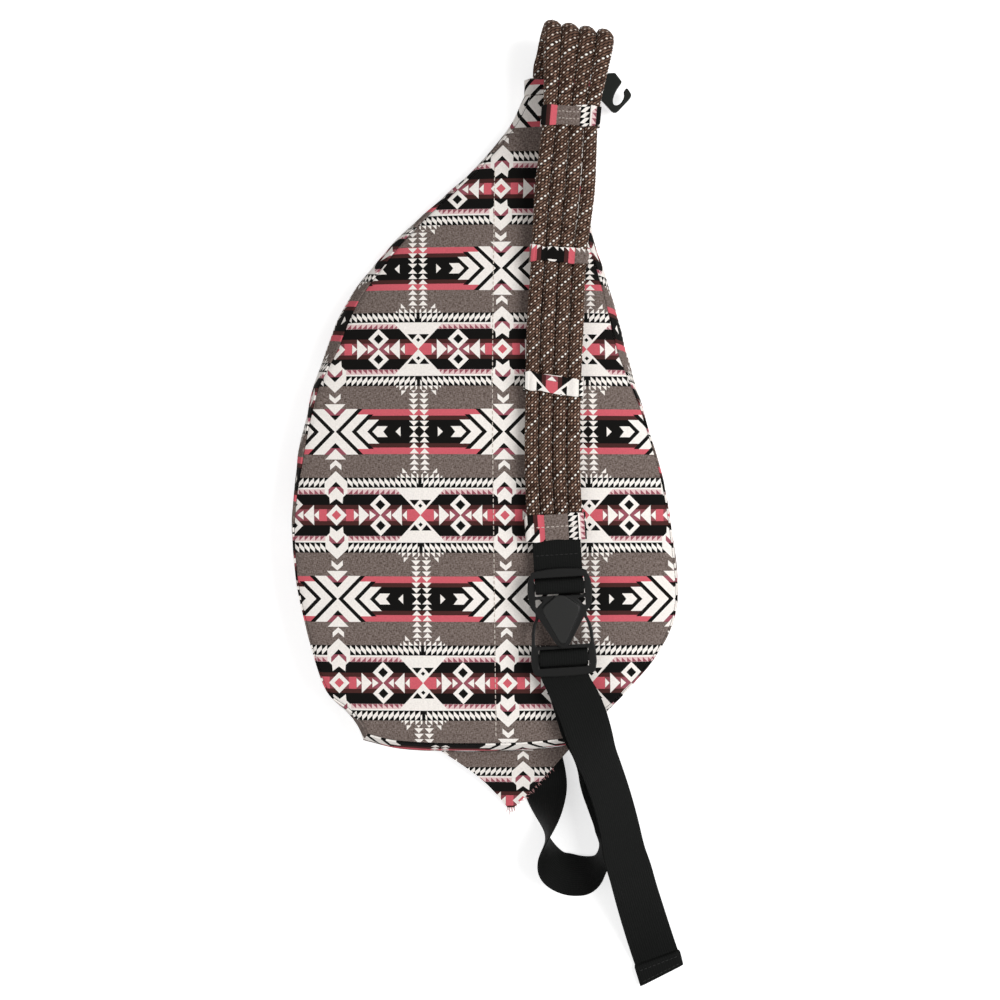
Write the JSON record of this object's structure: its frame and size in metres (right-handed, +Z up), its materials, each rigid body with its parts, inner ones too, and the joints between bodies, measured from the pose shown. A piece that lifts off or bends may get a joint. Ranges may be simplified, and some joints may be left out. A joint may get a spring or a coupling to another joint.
{
  "type": "rope sling bag",
  "caption": "Teardrop canvas sling bag lying on its front, with a row of ropes from the neck, canvas keepers, black webbing and a hook buckle.",
  "frame": {"origin": "on the flat front panel that the bag rests on, in the middle of its widest part, at floor level", "axes": "+X to the right as seen from the back, +Y towards the neck and the rope fold, +Z up from the front panel to the back panel"},
  "size_m": [0.2873, 0.7089, 0.067],
  "materials": {
    "canvas": "printed cotton canvas",
    "lining": "plain woven lining",
    "rope": "braided cotton rope with pale flecks",
    "webbing": "ribbed black webbing",
    "buckle": "moulded, satin",
    "zip_tape": "woven zip tape with a nylon coil",
    "zip_metal": "dark enamelled die casting",
    "hanger": "moulded, flat"
  },
  "bodies": {
    "bag": {"back_panel": "canvas", "left_gusset": "canvas", "bottom_gusset": "canvas", "right_gusset": "canvas", "front_panel": "canvas", "divider": "lining", "neck_binding": "canvas", "bottom_tab": "canvas", "rope_1": "rope", "rope_2": "rope", "rope_3": "rope", "rope_4": "rope", "keeper_1": "canvas", "keeper_2": "canvas", "keeper_3": "canvas", "rope_end_cap": "canvas", "upper_webbing": "webbing", "lower_webbing": "webbing", "hook_buckle": "buckle", "frame_buckle": "buckle", "left_zip_facing": "canvas", "left_zip_tape_a": "zip_tape", "left_zip_tape_b": "zip_tape", "right_zip_facing": "canvas", "right_zip_tape_a": "zip_tape", "right_zip_tape_b": "zip_tape", "hang_hook": "hanger"},
    "left_slider": {"left_zip_slider": "zip_metal"},
    "left_pull": {"left_zip_pull": "zip_metal"},
    "right_slider": {"right_zip_slider": "zip_metal"},
    "right_pull": {"right_zip_pull": "zip_metal"}
  },
  "joints": [
    {"name": "left_zip_slide", "type": "slide", "parent": "bag", "child": "left_slider", "axis": [0, -1, 0], "range_m": [0, 0.183]},
    {"name": "left_pull_swing", "type": "hinge", "parent": "left_slider", "child": "left_pull", "pos_m": [-0.072, 0.09315, 0.0059], "axis": [1, 0, 0], "range_deg": [0, 150]},
    {"name": "right_zip_slide", "type": "slide", "parent": "bag", "child": "right_slider", "axis": [0, -1, 0], "range_m": [0, 0.163]},
    {"name": "right_pull_swing", "type": "hinge", "parent": "right_slider", "child": "right_pull", "pos_m": [0.066, 0.06815, 0.0059], "axis": [1, 0, 0], "range_deg": [0, 150]}
  ]
}
